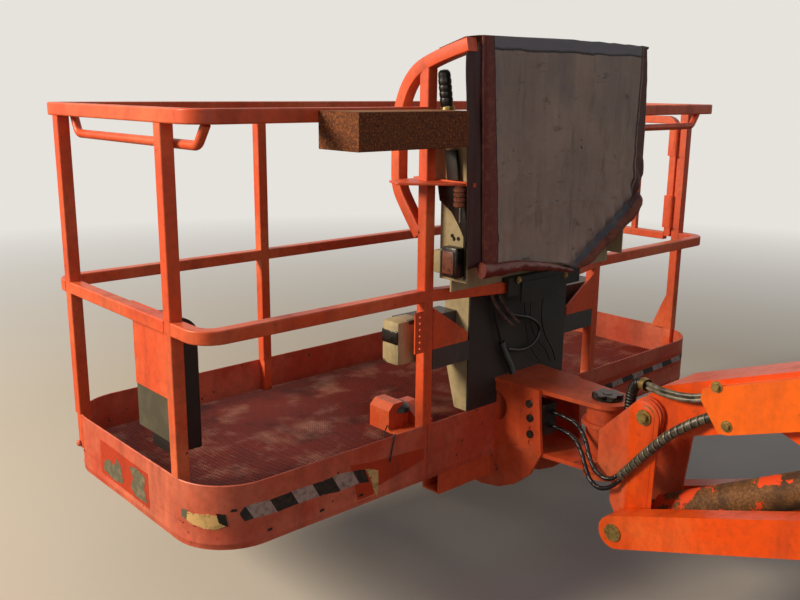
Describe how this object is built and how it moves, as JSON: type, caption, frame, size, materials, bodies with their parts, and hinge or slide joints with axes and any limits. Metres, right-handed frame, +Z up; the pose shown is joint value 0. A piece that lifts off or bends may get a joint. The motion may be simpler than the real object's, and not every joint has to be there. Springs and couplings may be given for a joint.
{
  "type": "boom lift work platform with rotator and jib",
  "caption": "Boom lift work platform with guard rails, gate, covered console, rotator and a levelled jib with its lift cylinder.",
  "frame": {"origin": "centre of the boom pin bore in the jib's base bracket", "axes": "+X along the platform's long side, +Y from the jib in to the far side, +Z up"},
  "size_m": [2.44, 2.8911, 1.494],
  "materials": {
    "beige_paint": "chalky beige paint",
    "black_plastic": "matt black",
    "black_rubber": "matt",
    "black_steel": "oily black",
    "brown_steel": "mud-brown worn paint",
    "chrome_rod": "polished",
    "faded_orange": "faded satin orange paint",
    "floor_steel": "worn dark red paint on expanded steel",
    "grey_paint": "dull grey paint",
    "jib_orange": "satin orange paint",
    "rust_steel": "rough rust",
    "tarp": "weathered coated cloth",
    "zinc_steel": "zinc plated"
  },
  "bodies": {
    "base": {"base_bracket": "jib_orange", "base_pins": "zinc_steel"},
    "upper_arm": {"upper_arm": "jib_orange", "hose_guard": "jib_orange", "hose_bundle": "black_rubber", "hose_pair_upper": "black_rubber", "hose_pair_lower": "black_rubber"},
    "lower_arm": {"lower_arm": "jib_orange"},
    "head": {"jib_head": "faded_orange", "head_pins": "zinc_steel", "rotator_body": "faded_orange", "hose_boot": "black_rubber", "hose_tail_upper": "black_rubber", "hose_tail_lower": "black_rubber"},
    "lift_barrel": {"lift_barrel": "brown_steel"},
    "lift_rod": {"lift_rod": "chrome_rod"},
    "gate": {"gate": "faded_orange"},
    "document_lid": {"document_lid": "black_plastic"},
    "platform": {"bowed_rail": "faded_orange", "console_box": "beige_paint", "console_conduit": "black_rubber", "console_cover": "tarp", "console_fittings": "black_plastic", "console_hoop_left": "faded_orange", "console_hoop_right": "faded_orange", "console_lead": "black_rubber", "console_shelf": "faded_orange", "console_sleeve": "black_rubber", "console_stand": "beige_paint", "console_tray": "black_plastic", "cross_beam": "beige_paint", "document_box": "black_plastic", "document_plate": "faded_orange", "floor_frame": "floor_steel", "floor_mesh": "floor_steel", "footswitch": "faded_orange", "gate_hinges": "faded_orange", "grab_bars": "faded_orange", "gussets": "faded_orange", "hose_manifold": "black_rubber", "joystick": "black_plastic", "lower_beams": "grey_paint", "mid_rail_far": "faded_orange", "mid_rail_left": "faded_orange", "mid_rail_right": "faded_orange", "posts_far": "faded_orange", "posts_left": "faded_orange", "posts_near": "faded_orange", "posts_right": "faded_orange", "rotator_cap": "black_steel", "rotator_yoke": "faded_orange", "side_box": "rust_steel", "support_column": "beige_paint", "toeboard_far": "faded_orange", "toeboard_left": "faded_orange", "toeboard_near": "faded_orange", "toeboard_right": "faded_orange", "top_rail_far": "faded_orange", "top_rail_left": "faded_orange", "top_rail_right": "faded_orange"}
  },
  "joints": [
    {"name": "jib_lift", "type": "hinge", "parent": "base", "child": "upper_arm", "pos_m": [0, 0.077, 0.32], "axis": [1, 0, 0], "range_deg": [-40, 90]},
    {"name": "lower_link", "type": "hinge", "parent": "base", "child": "lower_arm", "pos_m": [0, 0.11, -0.04], "axis": [1, 0, 0], "range_deg": [-40, 90]},
    {"name": "head_level", "type": "hinge", "parent": "upper_arm", "child": "head", "pos_m": [0, 1.24222, -0.1041], "axis": [1, 0, 0], "range_deg": [-90, 40], "deforming": ["hose_bundle", "hose_pair_upper", "hose_pair_lower", "hose_boot"]},
    {"name": "platform_swing", "type": "hinge", "parent": "head", "child": "platform", "pos_m": [0, 1.45222, -0.4141], "axis": [0, 0, 1], "range_deg": [-90, 90], "deforming": ["hose_tail_upper", "hose_tail_lower"]},
    {"name": "barrel_tilt", "type": "hinge", "parent": "head", "child": "lift_barrel", "pos_m": [0, 1.27522, -0.4641], "axis": [1, 0, 0], "range_deg": [-38.4, 86.4]},
    {"name": "rod_stroke", "type": "slide", "parent": "lift_barrel", "child": "lift_rod", "axis": [0, -0.8819, 0.4715], "range_m": [-0.44, 0.196]},
    {"name": "gate_swing", "type": "hinge", "parent": "platform", "child": "gate", "pos_m": [1.17, 1.97922, 0.2259], "axis": [0, 0, 1], "range_deg": [0, 90]},
    {"name": "lid_swing", "type": "hinge", "parent": "platform", "child": "document_lid", "pos_m": [-1.17, 2.14422, 0.1844], "axis": [0, -1, 0], "range_deg": [0, 90]}
  ],
  "couplings": [
    {"joint": "lower_link", "follows": "jib_lift", "ratio": 1},
    {"joint": "head_level", "follows": "jib_lift", "ratio": -1},
    {"joint": "barrel_tilt", "follows": "jib_lift", "ratio": 0.96},
    {"joint": "rod_stroke", "follows": "jib_lift", "m_per_rad": -0.28}
  ]
}
